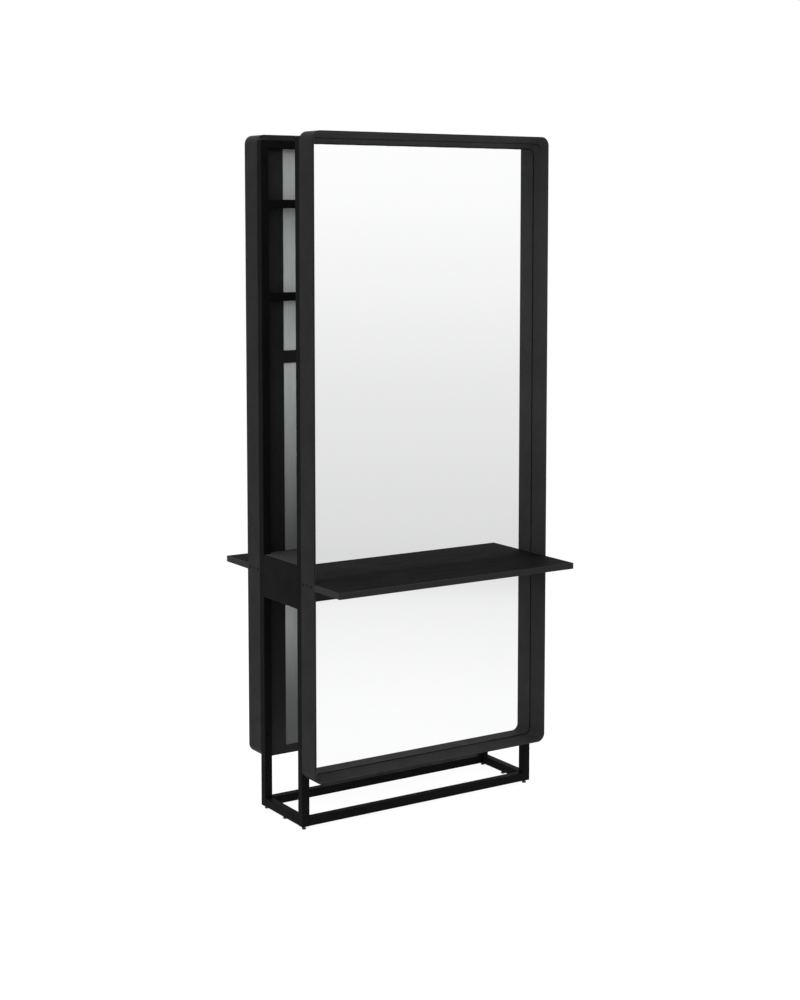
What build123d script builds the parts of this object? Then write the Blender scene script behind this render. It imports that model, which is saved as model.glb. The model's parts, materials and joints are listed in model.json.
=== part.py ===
"""Double-sided salon styling station, in millimetres.

An open frame of square tube carries a mirror casing on its front and another on its rear. A sheet
metal beam joins the two halves of the frame at shelf height, and each side has its own shelf.

Origin: centre of the footprint on the floor. +X runs along the width, +Z is up, and the front
faces -Y. The rear half mirrors the front half about the XZ plane.
"""
import os

from build123d import *

os.makedirs("parts", exist_ok=True)

# ---- driving dimensions -------------------------------------------------------------------------
station_width = 830.0
frame_depth = 250.0           # outer faces of the front and rear posts
base_height = 10.0            # floor to the underside of the base bars
frame_top = 2014.0            # top of the posts
tube = 25.0                   # square tube, outside
tube_wall = 2.0
tube_corner = 1.5
rung_heights = (1552.0, 1827.0)      # centre lines of the upper cross rungs

casing_bottom = 155.0
casing_top = 2030.0
casing_depth = 76.0           # from the posts' face out to the lip
casing_wall = 3.0
casing_radius = 26.0
lip_round = 0.8               # eased edge of the lip

back_plate_thickness = 2.5
window_half_width = 328.0
window_spans = ((180.0, 655.0), (783.0, 1352.0), (1390.0, 1991.0))

bezel_sheet = 2.0
crease_depth = 36.0           # from the lip back to the fold in the bezel
crease_top_inset = 20.0       # visible inset of the fold from the casing's outer face
crease_side_inset = 5.5       # the sides run almost straight back
crease_bottom_inset = 6.5
crease_radius = 20.0
opening_top_inset = 34.0      # visible inset of the mirror opening from the casing's outer face
opening_side_inset = 6.5
opening_bottom_inset = 8.5
opening_radius = 20.0

mirror_glass = 4.0
mirror_backing = 2.0
mirror_overlap = 2.5          # glass hidden behind the bezel's rear edge, each side

beam_bottom = 655.0
beam_top = 783.0
beam_sheet = 3.0

shelf_top = 742.0
shelf_board = 18.0
shelf_reach = 215.0           # from the posts' face to the shelf's front edge
shelf_lip_gap = 0.3           # between the lip and the wide part of the shelf
shelf_edging = 2.0
shelf_corner = 3.0
edging_round = 0.8
support_bottom = 677.0
support_sheet = 3.0
support_reach = 60.0
support_half_width = 404.0

m6_radius = 3.0
m6_hole = 3.25
m6_head_radius = 5.2
m6_head_height = 3.3
m6_head_round = 1.4
m6_nut_radius = 5.5           # across the corners, halved
m6_nut_height = 5.0
m6_socket = 2.3               # hex key socket, corner radius
m6_socket_depth = 1.8
casing_bolt_heights = (230.0, 930.0, 1690.0, 1960.0)
casing_bolt_short = 0.4       # the bolt ends this far inside its flush nut
support_bolt_spacing = 186.0
support_bolt_count = 4
support_bolt_past = 1.0       # thread showing past the nut

shelf_screw_radius = 2.5
shelf_screw_hole = 2.6
shelf_screw_length = 45.0
shelf_screw_head = 5.0
shelf_screw_head_depth = 2.6
shelf_screw_gap = 0.1         # round the head, in its countersink
shelf_screw_socket = 1.8
shelf_screw_spacing = 22.0
shelf_screw_count = 3

foot_pad_radius = 6.5
foot_pad_height = 4.0
foot_pad_chamfer = 0.8
foot_neck_radius = 5.0
foot_neck_height = 1.0
foot_stem_radius = 4.0        # M8
foot_stem_top = 31.0
foot_bore = 4.05              # running clearance on the stem
rivet_nut_radius = 5.5
rivet_nut_flange = 7.5
rivet_nut_flange_height = 1.0
rivet_nut_length = 14.0
plug_length = 24.0

cap_height = 3.0
cap_plug_length = 12.0
cap_round = 1.0

# ---- worked out from the driving dimensions ------------------------------------------------------
half_width = station_width / 2
half_depth = frame_depth / 2
tube_bore = tube - 2 * tube_wall
post_x = half_width - tube / 2
post_y = half_depth - tube / 2
inner_half_width = half_width - tube
inner_half_depth = half_depth - tube
base_centre_z = base_height + tube / 2
top_bar_z = frame_top - tube / 2

casing_height = casing_top - casing_bottom
casing_centre_z = (casing_top + casing_bottom) / 2
lip_y = half_depth + casing_depth
crease_y = lip_y - crease_depth
plate_y = half_depth + back_plate_thickness
backing_y = plate_y + mirror_backing
mirror_y = backing_y + mirror_glass

shelf_bottom = shelf_top - shelf_board
shelf_centre_z = (shelf_top + shelf_bottom) / 2
shelf_neck_width = station_width - 2 * casing_wall
shelf_head_back_y = lip_y + shelf_lip_gap
shelf_front_y = half_depth + shelf_reach
shelf_screw_ys = [half_depth + 12 + i * shelf_screw_spacing for i in range(shelf_screw_count)]
support_bolt_z = (support_bottom + shelf_bottom - support_sheet) / 2
bolt_hex_points = 6
casing_bolt_points = [(side * post_x, z) for side in (-1, 1) for z in casing_bolt_heights]

corner_names = {
    "front_left": (-post_x, -post_y),
    "front_right": (post_x, -post_y),
    "rear_left": (-post_x, post_y),
    "rear_right": (post_x, post_y),
}
side_names = {"left": -1, "right": 1}
face_names = {"front": 1, "rear": -1}     # sign of an offset from Plane.XZ, whose normal is -Y


def save(piece, label):
    """Label a finished piece and write it."""
    piece.label = label
    export_step(piece, f"parts/{label}.step")


def save_front_and_rear(piece, label):
    """Write a piece of the front half, and its mirror image in the rear half."""
    with BuildPart() as rear:
        mirror(piece, about=Plane.XZ)
    save(piece, f"front_{label}")
    save(rear.part, f"rear_{label}")


# ---- frame ---------------------------------------------------------------------------------------
def build_post(x, y):
    """Upright tube, drilled through from front to back for the casing bolts."""
    with BuildPart() as post:
        with BuildSketch(Plane((x, y, base_height))):
            RectangleRounded(tube, tube, tube_corner)
            Rectangle(tube_bore, tube_bore, mode=Mode.SUBTRACT)
        extrude(amount=frame_top - base_height)
        with BuildSketch(Plane.XZ.offset(-y)):
            with Locations(*[(x, z) for z in casing_bolt_heights]):
                Circle(m6_hole)
        extrude(amount=tube, both=True, mode=Mode.SUBTRACT)
    return post.part


def build_cross_bar(y, z):
    """Tube along the width, between two posts."""
    with BuildPart() as bar:
        with BuildSketch(Plane.YZ):
            with Locations((y, z)):
                RectangleRounded(tube, tube, tube_corner)
                Rectangle(tube_bore, tube_bore, mode=Mode.SUBTRACT)
        extrude(amount=inner_half_width, both=True)
    return bar.part


def build_side_bar(x):
    """Tube along the depth at the base, with a hole below for the rivet nut of the middle foot."""
    with BuildPart() as bar:
        with BuildSketch(Plane.XZ):
            with Locations((x, base_centre_z)):
                RectangleRounded(tube, tube, tube_corner)
                Rectangle(tube_bore, tube_bore, mode=Mode.SUBTRACT)
        extrude(amount=inner_half_depth, both=True)
        with BuildSketch(Plane((x, 0, base_height))):
            Circle(rivet_nut_radius)
        extrude(amount=tube_wall, mode=Mode.SUBTRACT)
    return bar.part


for name, (corner_x, corner_y) in corner_names.items():
    save(build_post(corner_x, corner_y), f"{name}_post")

for name, side in face_names.items():
    bar_y = -side * post_y
    save(build_cross_bar(bar_y, base_centre_z), f"{name}_base_bar")
    save(build_cross_bar(bar_y, rung_heights[0]), f"{name}_lower_rung")
    save(build_cross_bar(bar_y, rung_heights[1]), f"{name}_upper_rung")
    save(build_cross_bar(bar_y, top_bar_z), f"{name}_top_bar")

for name, side in side_names.items():
    save(build_side_bar(side * post_x), f"{name}_base_bar")

with BuildPart() as post_caps:
    for corner_x, corner_y in corner_names.values():
        with BuildSketch(Plane((corner_x, corner_y, frame_top))):
            RectangleRounded(tube, tube, tube_corner)
        extrude(amount=cap_height)
    fillet(post_caps.faces().group_by(Axis.Z)[-1].edges(), cap_round)
    for corner_x, corner_y in corner_names.values():
        with BuildSketch(Plane((corner_x, corner_y, frame_top))):
            Rectangle(tube_bore, tube_bore)
        extrude(amount=-cap_plug_length)
save(post_caps.part, "post_caps")


# ---- beam at shelf height ------------------------------------------------------------------------
def build_beam_face(side):
    """Sheet between two posts, flush with their outer faces, with the support bolt holes."""
    with BuildPart() as face:
        with BuildSketch(Plane.XZ.offset(side * half_depth)):
            with Locations((0, (beam_top + beam_bottom) / 2)):
                Rectangle(2 * inner_half_width, beam_top - beam_bottom)
            with Locations((0, support_bolt_z)):
                with GridLocations(support_bolt_spacing, 1, support_bolt_count, 1):
                    Circle(m6_hole, mode=Mode.SUBTRACT)
        extrude(amount=-side * beam_sheet)
    return face.part


def build_beam_end(side):
    """Sheet between the front and the rear post, flush with their outer faces."""
    with BuildPart() as end:
        with BuildSketch(Plane.YZ.offset(side * half_width)):
            with Locations((0, (beam_top + beam_bottom) / 2)):
                Rectangle(2 * inner_half_depth, beam_top - beam_bottom)
        extrude(amount=-side * beam_sheet)
    return end.part


def build_beam_plate(low_z):
    """Horizontal sheet inside the four faces, notched round the posts."""
    with BuildPart() as plate:
        with BuildSketch(Plane.XY.offset(low_z)):
            Rectangle(2 * inner_half_width, frame_depth - 2 * beam_sheet)
            Rectangle(station_width - 2 * beam_sheet, 2 * inner_half_depth)
        extrude(amount=beam_sheet)
    return plate.part


for name, side in face_names.items():
    save(build_beam_face(side), f"{name}_beam_face")
for name, side in side_names.items():
    save(build_beam_end(side), f"{name}_beam_end")
save(build_beam_plate(beam_top - beam_sheet), "beam_top_plate")
save(build_beam_plate(beam_bottom), "beam_bottom_plate")

# ---- mirror casing, front; the rear one is its mirror image ----------------------------------------
with BuildPart() as casing:
    with BuildSketch(Plane.XZ.offset(half_depth)):
        with Locations((0, casing_centre_z)):
            RectangleRounded(station_width, casing_height, casing_radius)
    extrude(amount=casing_depth)
    fillet(casing.faces().sort_by(Axis.Y)[0].edges(), lip_round)
    with BuildSketch(Plane.XZ.offset(half_depth)):
        with Locations((0, casing_centre_z)):
            RectangleRounded(
                station_width - 2 * casing_wall, casing_height - 2 * casing_wall, casing_radius - casing_wall
            )
    extrude(amount=casing_depth, mode=Mode.SUBTRACT)
    for side in side_names.values():
        outer_face = Plane((side * half_width, 0, 0), x_dir=(0, 1, 0), z_dir=(side, 0, 0))
        for screw_y in shelf_screw_ys:
            with BuildSketch(outer_face):
                with Locations((-screw_y, side * shelf_centre_z)):
                    Circle(shelf_screw_head)
            extrude(amount=-shelf_screw_head_depth, taper=45, mode=Mode.SUBTRACT)
            with BuildSketch(outer_face):
                with Locations((-screw_y, side * shelf_centre_z)):
                    Circle(shelf_screw_hole)
            extrude(amount=-casing_wall, mode=Mode.SUBTRACT)
save_front_and_rear(casing.part, "casing")

with BuildPart() as back_plate:
    with BuildSketch(Plane.XZ.offset(half_depth)):
        with Locations((0, casing_centre_z)):
            RectangleRounded(
                station_width - 2 * casing_wall, casing_height - 2 * casing_wall, casing_radius - casing_wall
            )
        for low_z, high_z in window_spans:
            with Locations((0, (low_z + high_z) / 2)):
                Rectangle(2 * window_half_width, high_z - low_z, mode=Mode.SUBTRACT)
        with Locations(*casing_bolt_points):
            RegularPolygon(m6_nut_radius, bolt_hex_points, mode=Mode.SUBTRACT)
        with Locations((0, support_bolt_z)):
            with GridLocations(support_bolt_spacing, 1, support_bolt_count, 1):
                Circle(m6_hole, mode=Mode.SUBTRACT)
    extrude(amount=back_plate_thickness)
save_front_and_rear(back_plate.part, "back_plate")


# (depth, side inset, top inset, bottom inset, corner radius) of the bezel's visible surface
lip_inset = casing_wall + bezel_sheet
bezel_front = (
    (lip_y, lip_inset, lip_inset, lip_inset, casing_radius - lip_inset),
    (crease_y, crease_side_inset, crease_top_inset, crease_bottom_inset, crease_radius),
    (mirror_y, opening_side_inset, opening_top_inset, opening_bottom_inset, opening_radius),
)
bezel_back = tuple(
    (depth, side - bezel_sheet, top - bezel_sheet, bottom - bezel_sheet, radius + bezel_sheet)
    for depth, side, top, bottom, radius in bezel_front
)


def build_bezel(cut_z, keep):
    """Folded sheet from the lip back to the mirror, splayed at the top, cut off at a height."""
    with BuildPart() as bezel:
        for sections, mode in ((bezel_back, Mode.ADD), (bezel_front, Mode.SUBTRACT)):
            for outer, inner in zip(sections, sections[1:]):
                for depth, side_inset, top_inset, bottom_inset, radius in (outer, inner):
                    with BuildSketch(Plane.XZ.offset(depth)):
                        with Locations((0, casing_centre_z + (bottom_inset - top_inset) / 2)):
                            RectangleRounded(
                                station_width - 2 * side_inset,
                                casing_height - top_inset - bottom_inset,
                                radius,
                            )
                loft(mode=mode)
        split(bisect_by=Plane.XY.offset(cut_z), keep=keep)
    return bezel.part


save_front_and_rear(build_bezel(shelf_top, Keep.TOP), "upper_bezel")
save_front_and_rear(build_bezel(shelf_bottom, Keep.BOTTOM), "lower_bezel")

# ---- mirrors and their backing ---------------------------------------------------------------------
pane_half_width = half_width - opening_side_inset + mirror_overlap
pane_spans = {
    "upper": (shelf_top, casing_top - opening_top_inset + mirror_overlap),
    "lower": (casing_bottom + opening_bottom_inset - mirror_overlap, support_bottom),
}
pane_layers = {"backing": (plate_y, mirror_backing), "mirror": (backing_y, mirror_glass)}
rounded_end = {"upper": -1, "lower": 0}   # the end of each pane that follows the casing's corners

for level, (low_z, high_z) in pane_spans.items():
    for layer, (near_y, thickness) in pane_layers.items():
        with BuildPart() as pane:
            with BuildSketch(Plane.XZ.offset(near_y)) as outline:
                with Locations((0, (low_z + high_z) / 2)):
                    Rectangle(2 * pane_half_width, high_z - low_z)
                fillet(outline.vertices().group_by(Axis.Y)[rounded_end[level]], opening_radius)
            extrude(amount=thickness)
        save_front_and_rear(pane.part, f"{level}_{layer}")

# ---- shelf -----------------------------------------------------------------------------------------
board_head_width = station_width - 2 * shelf_edging
board_front_y = shelf_front_y - shelf_edging


def shelf_head(width, front_y):
    """Outline of the part of the shelf in front of the casing's lip."""
    with Locations((0, -(shelf_head_back_y + front_y) / 2)):
        Rectangle(width, front_y - shelf_head_back_y)


with BuildPart() as shelf:
    with BuildSketch(Plane.XY.offset(shelf_bottom)):
        with Locations((0, -(plate_y + shelf_head_back_y) / 2)):
            Rectangle(shelf_neck_width, shelf_head_back_y - plate_y)
        shelf_head(board_head_width, board_front_y)
    extrude(amount=shelf_board)
    for side in side_names.values():
        with BuildSketch(Plane.YZ.offset(side * half_width)):
            with Locations(*[(-screw_y, shelf_centre_z) for screw_y in shelf_screw_ys]):
                Circle(shelf_screw_hole)
        extrude(amount=-side * (shelf_screw_length + 1), mode=Mode.SUBTRACT)
save_front_and_rear(shelf.part, "shelf")

with BuildPart() as edging:
    with BuildSketch(Plane.XY.offset(shelf_bottom)):
        shelf_head(station_width, shelf_front_y)
    extrude(amount=shelf_board)
    fillet(edging.edges().filter_by(Axis.Z).group_by(Axis.Y)[0], shelf_corner)
    top_rim = edging.faces().sort_by(Axis.Z)[-1].edges().sort_by(Axis.Y)[:-1]
    bottom_rim = edging.faces().sort_by(Axis.Z)[0].edges().sort_by(Axis.Y)[:-1]
    fillet(top_rim + bottom_rim, edging_round)
    with BuildSketch(Plane.XY.offset(shelf_bottom)):
        shelf_head(board_head_width, board_front_y)
    extrude(amount=shelf_board, mode=Mode.SUBTRACT)
save_front_and_rear(edging.part, "shelf_edging")

with BuildPart() as support:
    with BuildSketch(Plane.YZ):
        with Locations((-plate_y - support_sheet / 2, (support_bottom + shelf_bottom) / 2)):
            Rectangle(support_sheet, shelf_bottom - support_bottom)
        with Locations((-plate_y - support_reach / 2, shelf_bottom - support_sheet / 2)):
            Rectangle(support_reach, support_sheet)
    extrude(amount=support_half_width, both=True)
    with BuildSketch(Plane.XZ.offset(plate_y)):
        with Locations((0, support_bolt_z)):
            with GridLocations(support_bolt_spacing, 1, support_bolt_count, 1):
                Circle(m6_hole)
    extrude(amount=support_sheet, mode=Mode.SUBTRACT)
save_front_and_rear(support.part, "shelf_support")

# ---- fasteners -------------------------------------------------------------------------------------
with BuildPart() as shelf_screws:
    for side in side_names.values():
        outer_face = Plane((side * half_width, 0, 0), x_dir=(0, 1, 0), z_dir=(side, 0, 0))
        for screw_y in shelf_screw_ys:
            with BuildSketch(outer_face):
                with Locations((-screw_y, side * shelf_centre_z)):
                    Circle(shelf_screw_head - shelf_screw_gap)
            extrude(amount=-(shelf_screw_head - shelf_screw_gap - shelf_screw_radius), taper=45)
            with BuildSketch(outer_face):
                with Locations((-screw_y, side * shelf_centre_z)):
                    Circle(shelf_screw_radius)
            extrude(amount=-shelf_screw_length)
            with BuildSketch(outer_face):
                with Locations((-screw_y, side * shelf_centre_z)):
                    RegularPolygon(shelf_screw_socket, bolt_hex_points)
            extrude(amount=-m6_socket_depth, mode=Mode.SUBTRACT)
save_front_and_rear(shelf_screws.part, "shelf_screws")


def build_bolts(points, head_y, nut_y, nut_height, shank_past_nut, outwards):
    """Button-head M6 bolts along Y: head on head_y, nut on nut_y. outwards is 1 if the head faces -Y."""
    grip = (head_y - nut_y) * outwards
    with BuildPart() as bolts:
        with BuildSketch(Plane.XZ.offset(head_y)):
            with Locations(*points):
                Circle(m6_head_radius)
        extrude(amount=outwards * m6_head_height)
        head_rims = bolts.edges().filter_by(GeomType.CIRCLE)
        fillet(head_rims.filter_by_position(Axis.Y, -head_y - outwards * m6_head_height - 0.01,
                                            -head_y - outwards * m6_head_height + 0.01), m6_head_round)
        with BuildSketch(Plane.XZ.offset(head_y)):
            with Locations(*points):
                Circle(m6_radius)
        extrude(amount=-outwards * (grip + nut_height + shank_past_nut))
        with BuildSketch(Plane.XZ.offset(nut_y)):
            with Locations(*points):
                RegularPolygon(m6_nut_radius, bolt_hex_points)
        extrude(amount=-outwards * nut_height)
        with BuildSketch(Plane.XZ.offset(head_y + outwards * m6_head_height)):
            with Locations(*points):
                RegularPolygon(m6_socket, bolt_hex_points)
        extrude(amount=-outwards * m6_socket_depth, mode=Mode.SUBTRACT)
    return bolts.part


# from inside the frame, through the posts, into nuts pressed flush into the back plate
casing_bolts = build_bolts(
    casing_bolt_points, inner_half_depth, half_depth, back_plate_thickness, -casing_bolt_short, -1
)
save_front_and_rear(casing_bolts, "casing_bolts")

support_bolt_reach = support_bolt_spacing * (support_bolt_count - 1) / 2
support_bolt_points = [
    (i * support_bolt_spacing - support_bolt_reach, support_bolt_z) for i in range(support_bolt_count)
]
support_bolts = build_bolts(
    support_bolt_points, plate_y + support_sheet, half_depth - beam_sheet, m6_nut_height, support_bolt_past, 1
)
save_front_and_rear(support_bolts, "support_bolts")

# ---- levelling feet --------------------------------------------------------------------------------
foot_places = dict(corner_names, middle_left=(-post_x, 0), middle_right=(post_x, 0))

for name, (foot_x, foot_y) in foot_places.items():
    with BuildPart() as foot:
        with BuildSketch(Plane((foot_x, foot_y, 0))):
            Circle(foot_pad_radius)
        extrude(amount=foot_pad_height)
        chamfer(foot.edges(), foot_pad_chamfer)
        with BuildSketch(Plane((foot_x, foot_y, foot_pad_height))):
            Circle(foot_neck_radius)
        extrude(amount=foot_neck_height)
        with BuildSketch(Plane((foot_x, foot_y, foot_pad_height))):
            Circle(foot_stem_radius)
        extrude(amount=foot_stem_top - foot_pad_height)
        chamfer(foot.edges().group_by(Axis.Z)[-1], foot_pad_chamfer)
    save(foot.part, f"{name}_foot")

with BuildPart() as foot_inserts:
    for corner_x, corner_y in corner_names.values():
        with BuildSketch(Plane((corner_x, corner_y, base_height))):
            Rectangle(tube_bore, tube_bore)
            Circle(foot_bore, mode=Mode.SUBTRACT)
        extrude(amount=plug_length)
    for side in side_names.values():
        with BuildSketch(Plane((side * post_x, 0, base_height - rivet_nut_flange_height))):
            Circle(rivet_nut_flange)
            Circle(foot_bore, mode=Mode.SUBTRACT)
        extrude(amount=rivet_nut_flange_height)
        with BuildSketch(Plane((side * post_x, 0, base_height))):
            Circle(rivet_nut_radius)
            Circle(foot_bore, mode=Mode.SUBTRACT)
        extrude(amount=rivet_nut_length)
save(foot_inserts.part, "foot_inserts")
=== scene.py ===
"""Looks of the double-sided salon styling station, in metres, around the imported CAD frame."""
import json
import math

import bmesh
import bpy
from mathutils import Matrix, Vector

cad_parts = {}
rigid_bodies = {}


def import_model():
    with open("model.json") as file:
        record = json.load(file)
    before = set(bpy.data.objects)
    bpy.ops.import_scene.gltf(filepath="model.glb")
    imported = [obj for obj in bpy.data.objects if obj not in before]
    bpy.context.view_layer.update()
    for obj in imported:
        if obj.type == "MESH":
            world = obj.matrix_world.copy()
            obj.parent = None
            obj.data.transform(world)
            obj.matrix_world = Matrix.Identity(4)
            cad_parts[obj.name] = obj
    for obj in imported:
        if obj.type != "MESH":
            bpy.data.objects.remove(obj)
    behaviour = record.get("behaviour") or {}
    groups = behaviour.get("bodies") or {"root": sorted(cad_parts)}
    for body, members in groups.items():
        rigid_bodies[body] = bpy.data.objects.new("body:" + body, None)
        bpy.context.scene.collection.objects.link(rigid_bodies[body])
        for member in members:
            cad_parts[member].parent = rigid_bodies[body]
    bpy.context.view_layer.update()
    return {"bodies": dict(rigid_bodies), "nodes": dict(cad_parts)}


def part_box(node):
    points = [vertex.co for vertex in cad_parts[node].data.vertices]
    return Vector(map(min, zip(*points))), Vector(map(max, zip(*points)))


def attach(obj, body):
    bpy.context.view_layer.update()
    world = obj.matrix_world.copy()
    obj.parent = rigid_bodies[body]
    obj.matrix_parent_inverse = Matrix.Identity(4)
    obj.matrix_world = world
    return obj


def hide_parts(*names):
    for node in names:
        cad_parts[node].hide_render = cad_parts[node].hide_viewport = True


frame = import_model()

SIDES = ("front", "rear")
NODES = frame["nodes"]


# ---- places taken from the CAD frame -------------------------------------------------------------
def low(node):
    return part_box(node)[0]


def high(node):
    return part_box(node)[1]


CASING_LOW, CASING_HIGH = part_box("front_casing")
GLASS_Y = low("front_upper_mirror").y      # front face of the front mirror
SHELF_TOP = high("front_shelf").z
BEAM_LOW, BEAM_HIGH = low("front_beam_face").z, high("front_beam_face").z
FOLD_DEPTH = 0.036                         # casing's front edge back to the bezel's fold
OPENING_TOP_INSET = 0.034                  # casing's outside to the mirror opening
OPENING_SIDE_INSET = 0.0065
OPENING_BOTTOM_INSET = 0.0085
OPENING_RADIUS = 0.020


# ---- camera --------------------------------------------------------------------------------------
CAMERA_PLACE = (-2.9536, -4.5664, 1.7839)
CAMERA_TILT_DOWN = math.radians(5.142)
CAMERA_TURN = math.radians(-32.95)         # from looking along +Y towards the right
CAMERA_LENS_MM = 64.593
CAMERA_SHIFT_Y = -0.12


def build_camera():
    data = bpy.data.cameras.new("camera")
    data.lens = CAMERA_LENS_MM
    data.sensor_width = 36.0
    data.shift_y = CAMERA_SHIFT_Y
    data.clip_start, data.clip_end = 0.05, 60.0
    camera = bpy.data.objects.new("camera", data)
    bpy.context.scene.collection.objects.link(camera)
    camera.location = CAMERA_PLACE
    camera.rotation_euler = (math.radians(90) - CAMERA_TILT_DOWN, 0.0, CAMERA_TURN)
    bpy.context.scene.camera = camera


# ---- node helpers --------------------------------------------------------------------------------
class Shader:
    """A material under construction: short calls that add and wire nodes."""

    def __init__(self, name):
        self.material = bpy.data.materials.new(name)
        self.material.use_nodes = True
        self.tree = self.material.node_tree
        self.tree.nodes.clear()
        self.output = self.tree.nodes.new("ShaderNodeOutputMaterial")
        self.coords = self.tree.nodes.new("ShaderNodeTexCoord")

    def add(self, kind, **settings):
        node = self.tree.nodes.new("ShaderNode" + kind)
        for key, value in settings.items():
            setattr(node, key, value)
        return node

    def put(self, socket, value):
        """Wire value in if it is a socket, or set it if it is a number or a colour."""
        if isinstance(value, bpy.types.NodeSocket):
            self.tree.links.new(value, socket)
        else:
            socket.default_value = value

    def scaled(self, scale):
        """Object coordinates, in metres, times a number or a vector."""
        node = self.add("Mapping")
        self.put(node.inputs["Vector"], self.coords.outputs["Object"])
        node.inputs["Scale"].default_value = (
            (scale,) * 3 if isinstance(scale, (int, float)) else scale
        )
        return node.outputs["Vector"]

    def noise(self, scale, detail=3.0, roughness=0.55, distortion=0.0):
        """Cloudy 0 to 1 pattern with about scale features in a metre."""
        node = self.add("TexNoise")
        self.put(node.inputs["Vector"], self.scaled(scale))
        node.inputs["Scale"].default_value = 1.0
        node.inputs["Detail"].default_value = detail
        node.inputs["Roughness"].default_value = roughness
        node.inputs["Distortion"].default_value = distortion
        return node.outputs["Fac"]

    def cells(self, scale):
        """Distance to the nearest of scattered points, about scale of them in a metre."""
        node = self.add("TexVoronoi")
        self.put(node.inputs["Vector"], self.scaled(scale))
        node.inputs["Scale"].default_value = 1.0
        return node.outputs["Distance"]

    def spread(self, value, low_in, high_in, low_out, high_out, smooth=False):
        """Maps one range of values to another, held at both ends."""
        node = self.add("MapRange")
        if smooth:
            node.interpolation_type = "SMOOTHSTEP"
        self.put(node.inputs["Value"], value)
        for name, number in (("From Min", low_in), ("From Max", high_in),
                             ("To Min", low_out), ("To Max", high_out)):
            self.put(node.inputs[name], number)
        return node.outputs["Result"]

    def maths(self, operation, a, b=0.0):
        node = self.add("Math", operation=operation)
        self.put(node.inputs[0], a)
        self.put(node.inputs[1], b)
        return node.outputs[0]

    def mix(self, amount, a, b):
        """From a, where amount is 0, to b, where it is 1."""
        node = self.add("Mix", data_type="RGBA")
        self.put(node.inputs["Factor"], amount)
        self.put(node.inputs["A"], rgba(a))
        self.put(node.inputs["B"], rgba(b))
        return node.outputs["Result"]

    def axis(self, letter, source="Object"):
        node = self.add("SeparateXYZ")
        self.put(node.inputs[0], self.coords.outputs[source])
        return node.outputs[letter]

    def bump(self, height, distance, strength=1.0, normal=None):
        """Relief distance metres deep, laid over another normal if one is given."""
        node = self.add("Bump")
        node.inputs["Strength"].default_value = strength
        node.inputs["Distance"].default_value = distance
        self.put(node.inputs["Height"], height)
        if normal is not None:
            self.put(node.inputs["Normal"], normal)
        return node.outputs["Normal"]

    def soft_edges(self, radius):
        """The surface normal with every sharp edge eased over a radius."""
        node = self.add("Bevel", samples=6)
        node.inputs["Radius"].default_value = radius
        return node.outputs["Normal"]

    def edge_mask(self, rounded):
        """Near 1 within the eased edges and 0 on the flats."""
        flat, edge = 0.995, 0.90           # how far the eased normal agrees with the true one
        geometry = self.add("NewGeometry")
        dot = self.add("VectorMath", operation="DOT_PRODUCT")
        self.put(dot.inputs[0], rounded)
        self.put(dot.inputs[1], geometry.outputs["Normal"])
        return self.spread(dot.outputs["Value"], flat, edge, 0.0, 1.0)

    def surface(self, color, roughness, normal=None, **others):
        """Principled surface. Names in others are its sockets, with _ for a space."""
        node = self.add("BsdfPrincipled")
        self.put(node.inputs["Base Color"], rgba(color))
        self.put(node.inputs["Roughness"], roughness)
        if normal is not None:
            self.put(node.inputs["Normal"], normal)
        for name, value in others.items():
            self.put(node.inputs[name.replace("_", " ")], value)
        self.put(self.output.inputs["Surface"], node.outputs[0])
        return self.material


def rgba(color):
    """A grey level or an (r, g, b) as a colour; sockets pass through."""
    if isinstance(color, bpy.types.NodeSocket):
        return color
    if isinstance(color, (int, float)):
        return (color, color, color, 1.0)
    return (*color, 1.0)


def grey(level):
    return (level, level, level)


def shade(tone, factor):
    """The tone made darker or lighter."""
    return [c * factor for c in tone]


# ---- materials -----------------------------------------------------------------------------------
def top_fold_painted_shade(s):
    """1 along the fold of a bezel's top rail, where a line of painted shade goes, else 0."""
    fold_y = abs(CASING_LOW.y + FOLD_DEPTH)
    half_line, faded_out = 0.0016, 0.0034
    off_fold = s.maths("SUBTRACT", s.maths("ABSOLUTE", s.axis("Y")), fold_y)
    shade_line = s.spread(s.maths("ABSOLUTE", off_fold), half_line, faded_out, 1.0, 0.0, True)
    on_rail, below_rail = CASING_HIGH.z - 0.024, CASING_HIGH.z - 0.038
    return s.maths("MULTIPLY", shade_line, s.spread(s.axis("Z"), below_rail, on_rail, 0.0, 1.0))


def powder_coat(name, tone, worn, roughness, specular, edge=0.0009, fold_shade=False):
    """Fine-texture black powder coat: orange peel, fine grit, faint mottling and rubbed edges."""
    s = Shader(name)
    rounded = s.soft_edges(edge)
    peel = s.noise(230.0, 2.0, 0.5)
    grit = s.noise(1500.0, 2.0, 0.6)
    normal = s.bump(peel, 0.00070, 0.65, rounded)
    normal = s.bump(grit, 0.00016, 0.60, normal)
    mottled = s.spread(s.noise(5.5, 4.0, 0.6), 0.3, 0.7, 0.0, 1.0)
    color = s.mix(mottled, shade(tone, 0.86), shade(tone, 1.14))
    fleck = s.spread(s.noise(2100.0, 1.0, 0.5), 0.66, 0.78, 0.0, 0.5)
    color = s.mix(fleck, color, shade(tone, 2.8))
    rubbed = s.spread(s.noise(38.0, 5.0, 0.7), 0.46, 0.66, 0.15, 1.0)
    rubbed = s.maths("MULTIPLY", rubbed, s.edge_mask(rounded))
    color = s.mix(rubbed, color, worn)
    # Painted shade: a dark line along the fold of the bezel's top rail.
    if fold_shade:
        shade_line_strength, shade_line_tone = 0.75, 0.002
        color = s.mix(s.maths("MULTIPLY", top_fold_painted_shade(s), shade_line_strength), color, shade_line_tone)
    handled = s.noise(13.0, 5.0, 0.62, 0.4)
    level = s.spread(handled, 0.35, 0.7, roughness - 0.05, roughness + 0.07)
    level = s.maths("SUBTRACT", level, s.maths("MULTIPLY", rubbed, 0.12))
    return s.surface(color, level, normal, Specular_IOR_Level=specular)


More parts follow.
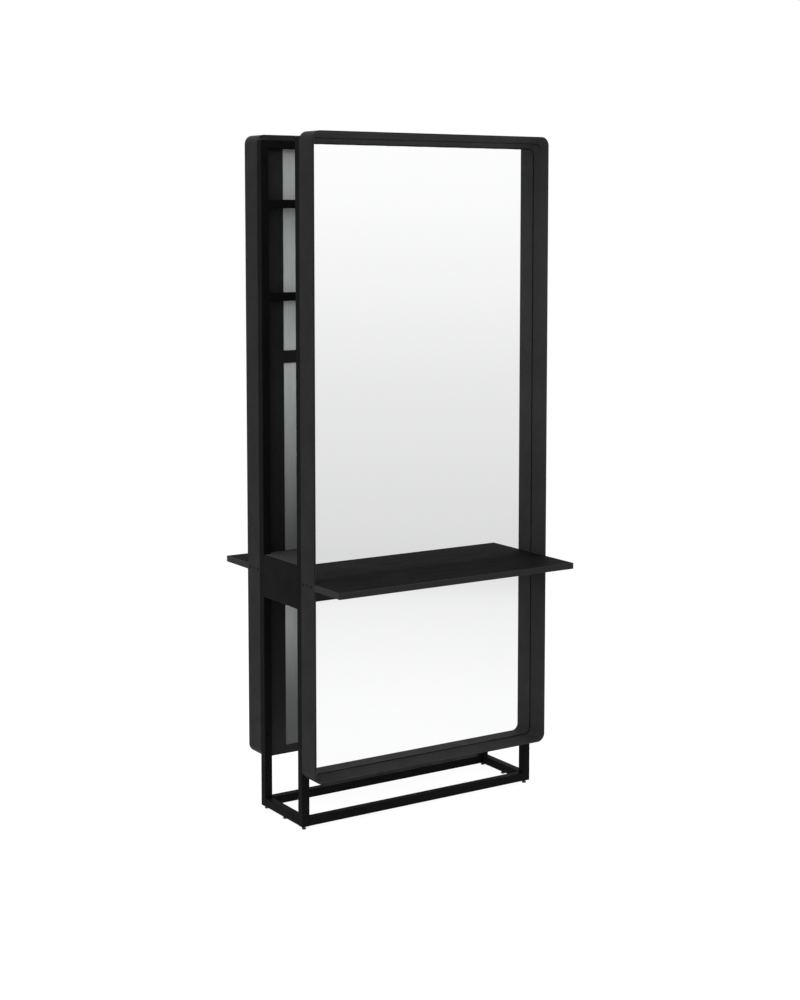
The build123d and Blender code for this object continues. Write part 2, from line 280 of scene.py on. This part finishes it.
def laminate(name, tone):
    """Dark textured melamine: fine lengthwise pores, faint cloudiness and dull wiped patches."""
    s = Shader(name)
    rounded = s.soft_edges(0.0005)
    pores = s.noise((42.0, 900.0, 900.0), 4.0, 0.65)
    grain = s.noise((3.0, 60.0, 60.0), 5.0, 0.6, 0.6)
    grit = s.noise(2400.0, 1.0)
    deep = s.spread(pores, 0.56, 0.72, 0.0, 1.0)
    normal = s.bump(s.maths("SUBTRACT", 1.0, deep), 0.00012, 0.5, rounded)
    normal = s.bump(grit, 0.00005, 0.4, normal)
    grained = s.spread(grain, 0.3, 0.7, 0.0, 1.0)
    color = s.mix(grained, shade(tone, 0.78), shade(tone, 1.22))
    color = s.mix(s.maths("MULTIPLY", deep, 0.5), color, shade(tone, 0.5))
    wiped = s.spread(s.noise((4.0, 9.0, 9.0), 4.0, 0.6, 1.0), 0.35, 0.7, 0.64, 0.74)
    return s.surface(color, wiped, normal, Specular_IOR_Level=0.010)


def edge_band(name, tone):
    """Smooth ABS edge band with extrusion lines and a soft satin."""
    s = Shader(name)
    lines = s.noise((6.0, 6.0, 1400.0), 3.0, 0.6)
    grit = s.noise(1700.0, 2.0)
    normal = s.bump(lines, 0.00006, 0.45, s.soft_edges(0.0008))
    normal = s.bump(grit, 0.00005, 0.35, normal)
    color = s.mix(s.noise((9.0, 9.0, 60.0), 4.0), shade(tone, 0.86), shade(tone, 1.16))
    level = s.spread(s.noise(20.0, 4.0), 0.3, 0.7, 0.42, 0.54)
    return s.surface(color, level, normal, Specular_IOR_Level=0.10)


def silvered_glass(name):
    """Mirror: silvered faces with a trace of dust and wiping marks, and green-tinted cut edges."""
    s = Shader(name)
    face = s.maths("ABSOLUTE", s.axis("Y", "Normal"))
    face = s.spread(face, 0.85, 0.95, 0.0, 1.0)
    wiping = s.noise((7.0, 7.0, 2.2), 5.0, 0.7, 1.4)
    dust = s.spread(s.noise(900.0, 2.0), 0.68, 0.80, 0.0, 1.0)
    level = s.maths("ADD", s.spread(wiping, 0.45, 0.75, 0.0, 0.010),
                    s.maths("MULTIPLY", dust, 0.004))
    silver = s.mix(s.spread(wiping, 0.3, 0.8, 0.0, 1.0), (0.985, 0.990, 0.988),
                   (0.975, 0.982, 0.980))
    ground = s.noise((300.0, 1200.0, 300.0), 3.0)
    green = s.mix(ground, (0.020, 0.060, 0.048), (0.045, 0.110, 0.090))
    color = s.mix(face, green, silver)
    level = s.mix(face, s.spread(ground, 0.2, 0.8, 0.25, 0.5), level)
    return s.surface(color, level, Metallic=face)


def painted_back(name):
    """Cool grey backing sheet behind the glass, with painted shading: paler towards the top of the
    lower pane and towards the middle of the upper one, with roller marks and cloudiness."""
    s = Shader(name)
    height = s.axis("Z")
    palest_height, top = 1.40, high("front_upper_backing").z
    at_beam, at_palest, drop_to_top = 0.25, 0.84, 0.33
    # Painted shading: the grey brightens and darkens with height over each pane.
    rising = s.spread(height, BEAM_HIGH, palest_height, at_beam, at_palest, True)
    upper = s.maths("SUBTRACT", rising, s.spread(height, palest_height, top, 0.0, drop_to_top))
    at_bottom, rise_to_beam = 0.11, 0.98
    climb = s.spread(height, low("front_lower_backing").z, BEAM_LOW, 0.0, 1.0)
    squared = s.maths("POWER", climb, 2.0)
    lower = s.maths("ADD", s.maths("MULTIPLY", squared, rise_to_beam), at_bottom)
    above = s.maths("GREATER_THAN", height, (BEAM_LOW + BEAM_HIGH) / 2)
    grey = s.mix(above, lower, upper)
    cool_white = (0.955, 1.0, 0.99)
    color = s.mix(grey, 0.0, cool_white)
    roller = s.noise((260.0, 260.0, 9.0), 4.0, 0.6)
    color = s.mix(s.spread(roller, 0.3, 0.7, 0.0, 0.16), color, (0.02, 0.022, 0.022))
    cloud = s.noise(7.0, 4.0, 0.6)
    color = s.mix(s.spread(cloud, 0.35, 0.7, 0.0, 0.10), color, (0.40, 0.42, 0.42))
    normal = s.bump(roller, 0.00012, 0.5)
    normal = s.bump(s.noise(800.0, 2.0), 0.00008, 0.4, normal)
    level = s.spread(cloud, 0.3, 0.7, 0.48, 0.62)
    return s.surface(color, level, normal, Specular_IOR_Level=0.25)


def turned_steel(name, tone, bright, roughness, metallic=0.9, specular=0.5):
    """Blackened or plated steel with fine turning marks and brighter, handled edges."""
    s = Shader(name)
    rounded = s.soft_edges(0.0003)
    rings = s.noise((260.0, 260.0, 5200.0), 3.0, 0.6)
    spots = s.noise(420.0, 4.0, 0.65)
    color = s.mix(s.spread(spots, 0.35, 0.7, 0.0, 1.0), tone, shade(tone, 1.6))
    color = s.mix(s.maths("MULTIPLY", s.edge_mask(rounded), 0.7), color, bright)
    normal = s.bump(rings, 0.00004, 0.5, rounded)
    level = s.spread(spots, 0.3, 0.7, roughness - 0.06, roughness + 0.10)
    return s.surface(color, level, normal, Metallic=metallic, Specular_IOR_Level=specular)


def moulded_plastic(name, tone):
    """Black nylon with a fine spark-eroded grain."""
    s = Shader(name)
    grain = s.cells(1500.0)
    normal = s.bump(grain, 0.00007, 0.6, s.soft_edges(0.0006))
    color = s.mix(s.noise(60.0, 4.0), shade(tone, 0.8), shade(tone, 1.25))
    level = s.spread(s.noise(200.0, 3.0), 0.3, 0.7, 0.46, 0.60)
    return s.surface(color, level, normal, Specular_IOR_Level=0.3)


def rubber_bead(name):
    """Black mirror sealant: soft skin with slight pulls along its length."""
    s = Shader(name)
    pulls = s.noise((90.0, 90.0, 90.0), 4.0, 0.6)
    color = s.mix(pulls, (0.0022, 0.0022, 0.0022), (0.0060, 0.0060, 0.0062))
    normal = s.bump(pulls, 0.0004, 0.5)
    normal = s.bump(s.noise(1300.0, 2.0), 0.00006, 0.4, normal)
    level = s.spread(pulls, 0.3, 0.7, 0.44, 0.60)
    return s.surface(color, level, normal, Specular_IOR_Level=0.06)


POWDER_COATS = {
    "frame_paint": dict(tone=grey(0.0054), worn=grey(0.022), roughness=0.54, specular=0.02),
    "beam_paint": dict(tone=grey(0.0048), worn=grey(0.030), roughness=0.58, specular=0.03),
    # The top plate's coat is the beam's black coat made lighter: painted light for the light
    # falling on the top.
    "beam_top_painted_light": dict(tone=grey(0.056), worn=grey(0.080), roughness=0.52, specular=0.10),
    "casing_paint": dict(tone=(0.0122, 0.0112, 0.0116), worn=(0.042, 0.040, 0.040),
                         roughness=0.52, specular=0.07, edge=0.0012),
    # The bezel's coat is the casing's black coat made lighter: painted light standing in for the
    # light the mirrors throw onto the bezel.
    "bezel_paint": dict(tone=(0.0365, 0.0353, 0.0350), worn=(0.048, 0.046, 0.046),
                        roughness=0.64, specular=0.02, edge=0.0012, fold_shade=True),
    # The back plates' coat is the same black coat made lighter: painted light that brightens the
    # shade between the casings.
    "back_plate_paint": dict(tone=grey(0.0170), worn=grey(0.030), roughness=0.52, specular=0.12),
    "support_paint": dict(tone=(0.0100, 0.0096, 0.0098), worn=grey(0.040), roughness=0.50,
                          specular=0.12),
}
STEELS = {
    "fasteners": dict(tone=grey(0.003), bright=grey(0.010), roughness=0.50, metallic=0.0,
                      specular=0.04),
    "foot_steel": dict(tone=(0.060, 0.060, 0.062), bright=grey(0.30), roughness=0.34),
    "insert_steel": dict(tone=(0.10, 0.095, 0.08), bright=(0.35, 0.34, 0.30), roughness=0.36),
}


def build_materials():
    materials = {name: powder_coat(name, **look) for name, look in POWDER_COATS.items()}
    materials |= {name: turned_steel(name, **look) for name, look in STEELS.items()}
    materials["mirror_glass"] = silvered_glass("mirror_glass")
    materials["mirror_backing"] = painted_back("mirror_backing")
    materials["shelf_board"] = laminate("shelf_board", (0.0095, 0.0089, 0.0091))
    materials["shelf_edging"] = edge_band("shelf_edging", (0.0170, 0.0160, 0.0164))
    materials["cap_plastic"] = moulded_plastic("cap_plastic", (0.0065, 0.0065, 0.0067))
    materials["bead_rubber"] = rubber_bead("bead_rubber")
    return materials


SLOT_BY_ENDING = (
    ("_foot", "foot_steel"), ("foot_inserts", "insert_steel"), ("post_caps", "cap_plastic"),
    ("_back_plate", "back_plate_paint"), ("_casing", "casing_paint"), ("_bezel", "bezel_paint"),
    ("_mirror", "mirror_glass"), ("_backing", "mirror_backing"), ("_shelf", "shelf_board"),
    ("_shelf_edging", "shelf_edging"), ("_shelf_support", "support_paint"),
    ("_screws", "fasteners"), ("_bolts", "fasteners"), ("_beam_face", "beam_paint"),
    ("_beam_end", "beam_paint"), ("beam_top_plate", "beam_top_painted_light"),
    ("beam_bottom_plate", "beam_paint"), ("_post", "frame_paint"), ("_bar", "frame_paint"),
    ("_rung", "frame_paint"),
)


def dress_nodes(materials):
    for name, node in NODES.items():
        slot = next(s for ending, s in SLOT_BY_ENDING if name.endswith(ending))
        if not node.material_slots:
            node.data.materials.append(materials[slot])
        for held in node.material_slots:
            held.material = materials[slot]


# ---- pieces --------------------------------------------------------------------------------------
def add_piece(name, verts, faces, material, body, smooth_angle=40.0):
    mesh = bpy.data.meshes.new(name)
    mesh.from_pydata(verts, [], faces)
    b = bmesh.new()
    b.from_mesh(mesh)
    bmesh.ops.recalc_face_normals(b, faces=b.faces)
    b.to_mesh(mesh)
    b.free()
    mesh.materials.append(material)
    mesh.shade_smooth()
    mesh.set_sharp_from_angle(angle=math.radians(smooth_angle))
    piece = bpy.data.objects.new(name, mesh)
    bpy.context.scene.collection.objects.link(piece)
    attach(piece, body)
    return piece


def join_rings(first, count, ring, faces):
    """Walls between count successive rings of ring points, and a face over each end."""
    for i in range(count - 1):
        a, b = first + i * ring, first + (i + 1) * ring
        for k in range(ring):
            n = (k + 1) % ring
            faces.append((a + k, a + n, b + n, b + k))
    last = first + (count - 1) * ring
    faces.append(tuple(first + k for k in reversed(range(ring))))
    faces.append(tuple(last + k for k in range(ring)))


def arch(half, start_z, end_z, radius, steps=10):
    """Path in XZ from (half, start_z) round two corners at end_z and back to (-half, start_z), as
    (x, z, outward x, outward z)."""
    up = math.copysign(1.0, end_z - start_z)
    points = [(half, start_z, 1.0, 0.0)]
    for side, first in ((1, 0), (-1, 90)):
        for i in range(steps + 1):
            a = math.radians(first + 90 * i / steps)
            points.append((side * (half - radius) + radius * math.cos(a),
                           end_z - up * radius + up * radius * math.sin(a),
                           math.cos(a), up * math.sin(a)))
    return points + [(-half, start_z, -1.0, 0.0)]


def divided(points, longest):
    """The path with its long runs cut up, so a slight waver can follow them."""
    out = []
    for p, q in zip(points, points[1:]):
        span = math.hypot(q[0] - p[0], q[1] - p[1])
        count = max(1, int(span / longest))
        for k in range(count):
            out.append(tuple(a + (b - a) * k / count for a, b in zip(p, q)))
    return out + [points[-1]]


def build_bead(side, level, materials):
    """Sealant bead laid along one side of a mirror pane, round its end and back along the other."""
    width, height, arc, longest = 0.0022, 0.0014, 6, 0.012
    facing = -1.0 if side == "front" else 1.0
    half = CASING_HIGH.x - OPENING_SIDE_INSET
    if level == "upper":
        path = arch(half, SHELF_TOP, CASING_HIGH.z - OPENING_TOP_INSET, OPENING_RADIUS)
    else:
        start = high("front_lower_mirror").z
        path = arch(half, start, CASING_LOW.z + OPENING_BOTTOM_INSET, OPENING_RADIUS)
    verts, faces = [], []
    rows = divided(path, longest)
    for i, (x, z, nx, nz) in enumerate(rows):
        waver = 1 + 0.07 * math.sin(i * 0.83) + 0.05 * math.sin(i * 2.17 + 1.0)
        for k in range(arc + 1):
            a = math.pi * k / arc
            inward = width * waver * (0.5 - 0.5 * math.cos(a))
            proud = height * waver * math.sin(a)
            verts.append((x - nx * inward, facing * (abs(GLASS_Y) + proud), z - nz * inward))
    join_rings(0, len(rows), arc + 1, faces)
    add_piece(f"{side}_{level}_mirror_bead", verts, faces, materials["bead_rubber"], "station")


def weld_run(start, end, away_a, away_b, size, seed, verts, faces):
    """Adds one rippled fillet weld along an inside corner; away_a and away_b lie on its faces."""
    start, end = Vector(start), Vector(end)
    away_a, away_b = Vector(away_a), Vector(away_b)
    length, arc = (end - start).length, 5
    step, ripple_pitch, flattening, root = 0.0006, 0.0021, 0.22, 0.0002
    end_share, end_slope = 0.35, 8         # thinner at its two ends
    count = int(length / step)
    first = len(verts)
    for i in range(count + 1):
        t = i / count
        taper = min(1.0, end_slope * t + end_share, end_slope * (1 - t) + end_share)
        ripple = 1 + 0.10 * math.sin(2 * math.pi * t * length / ripple_pitch + seed)
        r = size * taper * ripple * (1 + 0.08 * math.sin(5.1 * t + seed * 2))
        centre = start + (end - start) * t
        for k in range(arc + 1):
            a = math.pi / 2 * k / arc
            bulge = 1 - flattening * math.sin(2 * a)
            verts.append(centre + (away_a * math.cos(a) + away_b * math.sin(a)) * r * bulge)
        verts.append(centre - (away_a + away_b) * root)
    join_rings(first, count + 1, arc + 2, faces)


def build_welds(materials):
    """Fillet welds at the tube ends: above the base bars, below the top bars and on both sides of
    the rungs, kept off the flush-ground outer faces."""
    verts, faces = [], []
    margin, size = 0.0015, 0.0026
    seed, seed_step = 0.0, 1.3
    bars = ("base_bar", "lower_rung", "upper_rung", "top_bar")
    for name in [f"{side}_{bar}" for side in SIDES for bar in bars]:
        lo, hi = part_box(name)
        levels = []
        if not name.endswith("base_bar"):
            levels.append((lo.z, -1))
        if not name.endswith("top_bar"):
            levels.append((hi.z, 1))
        for z, up in levels:
            for x, out in ((lo.x, 1), (hi.x, -1)):
                seed += seed_step
                weld_run((x, lo.y + margin, z), (x, hi.y - margin, z), (out, 0, 0), (0, 0, up),
                         size, seed, verts, faces)
    for name in ("left_base_bar", "right_base_bar"):
        lo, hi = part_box(name)
        for y, out in ((lo.y, 1), (hi.y, -1)):
            seed += seed_step
            weld_run((lo.x + margin, y, hi.z), (hi.x - margin, y, hi.z), (0, out, 0), (0, 0, 1),
                     size, seed, verts, faces)
    add_piece("frame_welds", verts, faces, materials["frame_paint"], "station",
              60.0)


def revolve(profile, centre, spokes, verts, faces, flute, flutes):
    """Turns (radius, z, fluted) rows about a vertical line, with grip notches cut into the rows
    marked as fluted: flute is their depth and flutes their number."""
    first = len(verts)
    for radius, z, fluted in profile:
        for s in range(spokes):
            a = 2 * math.pi * s / spokes
            r = radius - (flute * max(0.0, math.cos(a * flutes)) ** 4 if fluted else 0.0)
            verts.append((centre[0] + r * math.cos(a), centre[1] + r * math.sin(a), z))
    join_rings(first, len(profile), spokes, faces)


PAD_ROWS = (                               # share of the pad's radius, height above it, fluted
    (0.70, 0.0003, 0), (0.80, 0.0, 0), (0.90, 0.0, 0), (0.965, 0.0003, 1), (1.0, 0.0009, 1),
    (1.0, 0.0030, 1), (0.965, 0.0036, 1), (0.90, 0.0040, 0), (0.80, 0.0041, 0),
)
NECK_RADIUS = 0.0046
NECK_BOTTOM, NECK_TOP = 0.0043, 0.0050     # above the pad's underside, as is STEM_BOTTOM
STEM_BOTTOM = 0.0048
THREAD_RADIUS, THREAD_DEPTH, THREAD_PITCH = 0.0040, 0.0007, 0.00125   # M8


def build_pad(lo, hi, centre, verts, faces):
    """Fluted pad with a short neck on it."""
    radius = (hi.x - lo.x) / 2
    spokes, flute_depth, flutes = 72, 0.0006, 18
    rows = [(radius * share, lo.z + z, fluted) for share, z, fluted in PAD_ROWS]
    rows += [(NECK_RADIUS, lo.z + z, 0) for z in (NECK_BOTTOM, NECK_TOP)]
    revolve(rows, centre, spokes, verts, faces, flute_depth, flutes)


def build_stem(lo, hi, centre, verts, faces):
    """Threaded stem, drawn in over its last stretch."""
    base, top = lo.z + STEM_BOTTOM, hi.z
    lead_in, drawn_in = 0.0012, 0.20
    per_turn, spokes, roundness = 5, 40, 0.8
    count = int((top - base) / THREAD_PITCH * per_turn)
    first = len(verts)
    for i in range(count + 1):
        z = base + (top - base) * i / count
        full = min(1.0, (top - z) / lead_in)
        for s in range(spokes):
            a = 2 * math.pi * s / spokes
            phase = ((z - base) / THREAD_PITCH - s / spokes) % 1.0
            cut = THREAD_DEPTH * (1 - abs(2 * phase - 1)) ** roundness
            r = (THREAD_RADIUS - cut) * (1 - drawn_in + drawn_in * full)
            verts.append((centre[0] + r * math.cos(a), centre[1] + r * math.sin(a), z))
    join_rings(first, count + 1, spokes, faces)


def build_foot(name, materials):
    """Levelling foot: fluted pad, neck and M8 threaded stem, in place of the plain CAD foot."""
    lo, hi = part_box(name)
    centre = ((lo.x + hi.x) / 2, (lo.y + hi.y) / 2)
    verts, faces = [], []
    build_pad(lo, hi, centre, verts, faces)
    build_stem(lo, hi, centre, verts, faces)
    piece = add_piece(f"{name}_detail", verts, faces, materials["foot_steel"], name,
                      50.0)
    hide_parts(name)


# ---- stage and light -----------------------------------------------------------------------------
def disc_mesh(rings, spokes, reach):
    """Flat disc about the origin, in rings."""
    verts = [(0.0, 0.0, 0.0)]
    for i in range(1, rings + 1):
        r = reach * i / rings
        for k in range(spokes):
            a = 2 * math.pi * k / spokes
            verts.append((r * math.cos(a), r * math.sin(a), 0.0))
    faces = [(0, 1 + k, 1 + (k + 1) % spokes) for k in range(spokes)]
    for i in range(rings - 1):
        a, b = 1 + i * spokes, 1 + (i + 1) * spokes
        for k in range(spokes):
            n = (k + 1) % spokes
            faces.append((a + k, b + k, b + n, a + n))
    mesh = bpy.data.meshes.new("floor")
    mesh.from_pydata(verts, [], faces)
    return mesh


def floor_paper():
    """Pale paper that glows as painted light, duller in the mirrors than seen directly, that thins
    out far from the station.
    """
    s = Shader("floor_paper")
    solid_to, gone_at = 2.9, 4.3
    near, far = 0.8, 3.2
    glow_near, glow_far, glow_direct = 0.82, 0.69, 0.94
    length = s.add("VectorMath", operation="LENGTH")
    s.put(length.inputs[0], s.coords.outputs["Object"])
    away = length.outputs["Value"]
    solid = s.spread(away, solid_to, gone_at, 1.0, 0.0, True)
    paper = s.add("BsdfDiffuse")
    s.put(paper.inputs["Color"], s.mix(s.noise(3.0), 0.155, 0.165))
    glow = s.add("Emission")
    path = s.add("LightPath")
    # Painted light: in the mirrors the glow dims from the station outward, like a pool of light.
    level = s.spread(away, near, far, glow_near, glow_far)
    extra = s.maths("MULTIPLY", path.outputs["Is Camera Ray"],
                    s.maths("SUBTRACT", glow_direct, level))
    s.put(glow.inputs["Strength"], s.maths("ADD", level, extra))
    lit = s.add("AddShader")
    s.put(lit.inputs[0], paper.outputs[0])
    s.put(lit.inputs[1], glow.outputs[0])
    clear = s.add("BsdfTransparent")
    blend = s.add("MixShader")
    s.put(blend.inputs[0], solid)
    s.put(blend.inputs[1], clear.outputs[0])
    s.put(blend.inputs[2], lit.outputs[0])
    s.put(s.output.inputs["Surface"], blend.outputs[0])
    return s.material


def build_floor():
    mesh = disc_mesh(24, 96, 5.2)
    mesh.materials.append(floor_paper())
    floor = bpy.data.objects.new("floor", mesh)
    bpy.context.scene.collection.objects.link(floor)


WORLD_STOPS = (                            # upward part of a direction, its grey level
    (-0.5, 0.60), (-0.215, 0.64), (-0.18, 0.72), (-0.156, 0.752), (-0.09, 0.825),
    (-0.045, 0.90), (0.02, 0.985), (0.06, 1.0), (0.5, 1.0),
)


def build_world():
    """White studio: plain white behind the station, and a soft vertical falloff in reflections."""
    world = bpy.data.worlds.new("studio")
    bpy.context.scene.world = world
    world.use_nodes = True
    tree = world.node_tree
    tree.nodes.clear()
    new, link = tree.nodes.new, tree.links.new
    coords, split = new("ShaderNodeTexCoord"), new("ShaderNodeSeparateXYZ")
    link(coords.outputs["Generated"], split.inputs[0])
    ramp = new("ShaderNodeValToRGB")
    spread = new("ShaderNodeMapRange")
    spread.inputs["From Min"].default_value = WORLD_STOPS[0][0]
    spread.inputs["From Max"].default_value = WORLD_STOPS[-1][0]
    link(split.outputs["Z"], spread.inputs["Value"])
    link(spread.outputs["Result"], ramp.inputs["Fac"])
    stops = ramp.color_ramp.elements
    stops.remove(stops[0])
    for i, (z, level) in enumerate(WORLD_STOPS):
        place = z - WORLD_STOPS[0][0]
        stop = stops[0] if i == 0 else stops.new(place)
        stop.position = place
        stop.color = rgba(level)
    path, mixer = new("ShaderNodeLightPath"), new("ShaderNodeMixShader")
    seen, lit = new("ShaderNodeBackground"), new("ShaderNodeBackground")
    out = new("ShaderNodeOutputWorld")
    seen.inputs["Color"].default_value = rgba(1.0)
    link(ramp.outputs["Color"], lit.inputs["Color"])
    link(path.outputs["Is Camera Ray"], mixer.inputs[0])
    link(lit.outputs[0], mixer.inputs[1])
    link(seen.outputs[0], mixer.inputs[2])
    link(mixer.outputs[0], out.inputs["Surface"])


def add_softbox(name, place, target, size, power):
    data = bpy.data.lights.new(name, "AREA")
    data.shape, data.size, data.energy = "DISK", size, power
    light = bpy.data.objects.new(name, data)
    bpy.context.scene.collection.objects.link(light)
    light.location = place
    light.rotation_euler = (Vector(target) - Vector(place)).to_track_quat("-Z", "Y").to_euler()
    light.visible_camera = False
    light.visible_glossy = False


def build_lights():
    add_softbox("overhead", (0.0, 0.0, 4.6), (0.0, 0.0, 0.0), 3.0, 40.0)
    add_softbox("front_left", (-3.4, -3.0, 3.2), (0.0, 0.0, 0.8), 2.4, 20.0)
    bpy.context.scene.view_settings.view_transform = "Standard"
    bpy.context.scene.view_settings.look = "None"


# ---- build ---------------------------------------------------------------------------------------
build_camera()
build_world()
build_lights()
build_floor()
materials = build_materials()
dress_nodes(materials)
for side in SIDES:
    for level in ("upper", "lower"):
        build_bead(side, level, materials)
build_welds(materials)
for body in frame["bodies"]:
    if body.endswith("_foot"):
        build_foot(body, materials)
